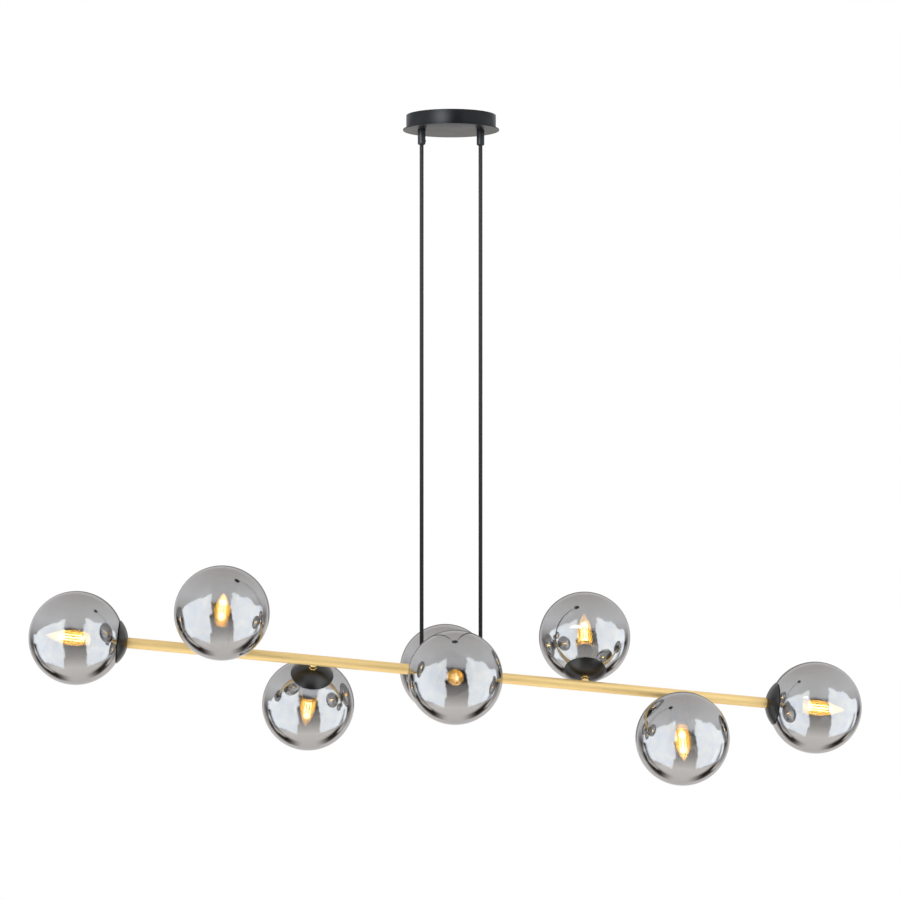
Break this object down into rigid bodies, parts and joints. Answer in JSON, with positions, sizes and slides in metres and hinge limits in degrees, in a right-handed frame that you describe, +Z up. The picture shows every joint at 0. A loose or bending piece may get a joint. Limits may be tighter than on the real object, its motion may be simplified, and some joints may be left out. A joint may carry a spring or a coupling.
{
  "type": "pendant ceiling light",
  "caption": "Pendant ceiling light: a slim brass bar on two cords under a round black canopy, with smoked glass globes in black dome cups.",
  "frame": {"origin": "on the ceiling plane, midway between the two screw slots of the ceiling bracket", "axes": "+Z up into the ceiling, +X along the bar to its lower, right end, -Y to the front"},
  "size_m": [1.257, 0.3246, 1.0047],
  "materials": {
    "black_coat": "fine satin black powder coat",
    "brass": "polished brass",
    "smoked_glass": "smoked, half mirrored",
    "bulb": "clear candle bulb, warm light",
    "black_plastic": "moulded",
    "black_braid": "braided textile",
    "black_metal": "satin",
    "soft_seal": "matt",
    "zinc_steel": "zinc plated",
    "white_plastic": "moulded",
    "wire": "insulated copper"
  },
  "bodies": {
    "canopy": {"ceiling_bracket": "zinc_steel", "canopy_band": "black_coat", "canopy_plate": "black_coat", "canopy_side_screws": "black_metal", "terminal_block": "white_plastic", "terminal_screws": "zinc_steel", "earth_screw": "zinc_steel", "canopy_leads": "wire", "grip_nuts": "zinc_steel", "grip_screws": "black_metal", "cord_tails": "black_braid", "cord_grip_left": "black_coat", "cord_grip_right": "black_coat"},
    "cords": {"cord_left": "black_braid", "cord_right": "black_braid"},
    "cord_ends": {"cord_ends": "black_braid", "cord_ferrule_left": "black_metal", "cord_ferrule_right": "black_metal"},
    "bar": {"bar_tube": "brass", "bar_leads": "wire", "cord_sockets": "brass", "socket_screws": "black_metal", "bar_end_plugs": "brass", "stems": "brass", "globe_collars": "black_metal", "cup_gaskets": "soft_seal", "holder_contacts": "brass", "cup_1": "black_coat", "cup_2": "black_coat", "cup_3": "black_coat", "cup_4": "black_coat", "cup_5": "black_coat", "cup_6": "black_coat", "cup_7": "black_coat", "cup_8": "black_coat", "holder_1": "black_plastic", "holder_2": "black_plastic", "holder_3": "black_plastic", "holder_4": "black_plastic", "holder_5": "black_plastic", "holder_6": "black_plastic", "holder_7": "black_plastic", "holder_8": "black_plastic"},
    "globe_1": {"globe_1": "smoked_glass"},
    "bulb_1": {"bulb_1": "bulb"},
    "globe_2": {"globe_2": "smoked_glass"},
    "bulb_2": {"bulb_2": "bulb"},
    "globe_3": {"globe_3": "smoked_glass"},
    "bulb_3": {"bulb_3": "bulb"},
    "globe_4": {"globe_4": "smoked_glass"},
    "bulb_4": {"bulb_4": "bulb"},
    "globe_5": {"globe_5": "smoked_glass"},
    "bulb_5": {"bulb_5": "bulb"},
    "globe_6": {"globe_6": "smoked_glass"},
    "bulb_6": {"bulb_6": "bulb"},
    "globe_7": {"globe_7": "smoked_glass"},
    "bulb_7": {"bulb_7": "bulb"},
    "globe_8": {"globe_8": "smoked_glass"},
    "bulb_8": {"bulb_8": "bulb"}
  },
  "joints": [
    {"name": "pendant_swing", "type": "hinge", "parent": "canopy", "child": "cords", "pos_m": [0, 0, -0.0433], "axis": [1, 0, 0], "range_deg": [-15, 15]},
    {"name": "drop_height", "type": "slide", "parent": "cords", "child": "cord_ends", "axis": [0, 0, 1], "range_m": [0, 0.5], "deforming": ["cord_left", "cord_right"]},
    {"name": "bar_tilt", "type": "hinge", "parent": "cord_ends", "child": "bar", "pos_m": [0, 0, -0.825], "axis": [0, 1, 0], "range_deg": [-11.67, 0.33]},
    {"name": "globe_1_lift_off", "type": "slide", "parent": "bar", "child": "globe_1", "axis": [-0.9951, 0, 0.0988], "range_m": [0, 0.13]},
    {"name": "bulb_1_unscrew", "type": "hinge", "parent": "bar", "child": "bulb_1", "pos_m": [-0.48411, 0, -0.79201], "axis": [-0.9951, 0, 0.0988], "range_deg": [0, 720]},
    {"name": "globe_2_lift_off", "type": "slide", "parent": "bar", "child": "globe_2", "axis": [0.0648, -0.7547, 0.6528], "range_m": [0, 0.13]},
    {"name": "bulb_2_unscrew", "type": "hinge", "parent": "bar", "child": "bulb_2", "pos_m": [-0.34824, -0.01208, -0.79495], "axis": [0.0648, -0.7547, 0.6528], "range_deg": [0, 720]},
    {"name": "globe_3_lift_off", "type": "slide", "parent": "bar", "child": "globe_3", "axis": [-0.0761, 0.6374, -0.7667], "range_m": [0, 0.13]},
    {"name": "bulb_3_unscrew", "type": "hinge", "parent": "bar", "child": "bulb_3", "pos_m": [-0.20769, 0.0102, -0.83184], "axis": [-0.0761, 0.6374, -0.7667], "range_deg": [0, 720]},
    {"name": "globe_4_lift_off", "type": "slide", "parent": "bar", "child": "globe_4", "axis": [0, -1, 0], "range_m": [0, 0.13]},
    {"name": "bulb_4_unscrew", "type": "hinge", "parent": "bar", "child": "bulb_4", "pos_m": [-0.00148, -0.016, -0.83993], "axis": [0, -1, 0], "range_deg": [0, 720]},
    {"name": "globe_5_lift_off", "type": "slide", "parent": "bar", "child": "globe_5", "axis": [0, 1, 0], "range_m": [0, 0.13]},
    {"name": "bulb_5_unscrew", "type": "hinge", "parent": "bar", "child": "bulb_5", "pos_m": [-0.00148, 0.016, -0.83993], "axis": [0, 1, 0], "range_deg": [0, 720]},
    {"name": "globe_6_lift_off", "type": "slide", "parent": "bar", "child": "globe_6", "axis": [0.0761, 0.6374, 0.7667], "range_m": [0, 0.13]},
    {"name": "bulb_6_unscrew", "type": "hinge", "parent": "bar", "child": "bulb_6", "pos_m": [0.20473, 0.0102, -0.84801], "axis": [0.0761, 0.6374, 0.7667], "range_deg": [0, 720]},
    {"name": "globe_7_lift_off", "type": "slide", "parent": "bar", "child": "globe_7", "axis": [-0.0648, -0.7547, -0.6528], "range_m": [0, 0.13]},
    {"name": "bulb_7_unscrew", "type": "hinge", "parent": "bar", "child": "bulb_7", "pos_m": [0.34527, -0.01208, -0.8849], "axis": [-0.0648, -0.7547, -0.6528], "range_deg": [0, 720]},
    {"name": "globe_8_lift_off", "type": "slide", "parent": "bar", "child": "globe_8", "axis": [0.9951, 0, -0.0988], "range_m": [0, 0.13]},
    {"name": "bulb_8_unscrew", "type": "hinge", "parent": "bar", "child": "bulb_8", "pos_m": [0.48114, 0, -0.88784], "axis": [0.9951, 0, -0.0988], "range_deg": [0, 720]}
  ]
}
